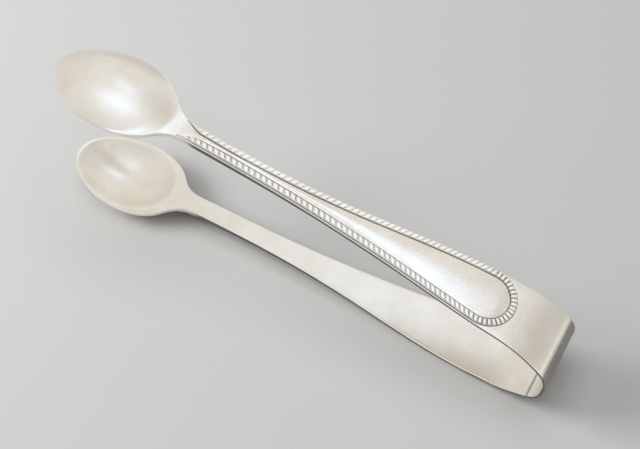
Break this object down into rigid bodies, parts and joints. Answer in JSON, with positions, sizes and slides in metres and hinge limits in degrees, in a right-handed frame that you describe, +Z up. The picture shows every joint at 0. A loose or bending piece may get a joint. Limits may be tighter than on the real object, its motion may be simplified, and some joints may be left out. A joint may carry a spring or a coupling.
{
  "type": "ice tongs",
  "caption": "Sprung metal serving tongs: tapering arms with a raised lobed border end in facing spoon bowls, and a bent bow springs them apart.",
  "frame": {"origin": "middle of the footprint of the whole part, on the surface that it rests on", "axes": "+X along the tongs from the bowls towards the bow, +Y across the strip, +Z up, with the tongs lying on the lower arm"},
  "size_m": [0.1518, 0.0238, 0.0517],
  "materials": {
    "bow_silver": "polished",
    "arm_silver": "satin",
    "border_silver": "satin"
  },
  "bodies": {
    "lower_arm": {"lower_arm": "arm_silver", "lower_border": "border_silver"},
    "bow": {"bow_spring": "bow_silver"},
    "upper_arm": {"upper_arm": "arm_silver", "upper_border": "border_silver"}
  },
  "joints": [
    {"name": "lower_arm_flex", "type": "hinge", "parent": "lower_arm", "child": "bow", "pos_m": [0.06186, 0, 0.00173], "axis": [0, -1, 0], "range_deg": [0, 8], "stiffness_Nm_per_rad": 3},
    {"name": "upper_arm_flex", "type": "hinge", "parent": "bow", "child": "upper_arm", "pos_m": [0.06428, 0, 0.02479], "axis": [0, -1, 0], "range_deg": [0, 8], "stiffness_Nm_per_rad": 3}
  ],
  "couplings": [
    {"joint": "upper_arm_flex", "follows": "lower_arm_flex", "ratio": 1}
  ]
}
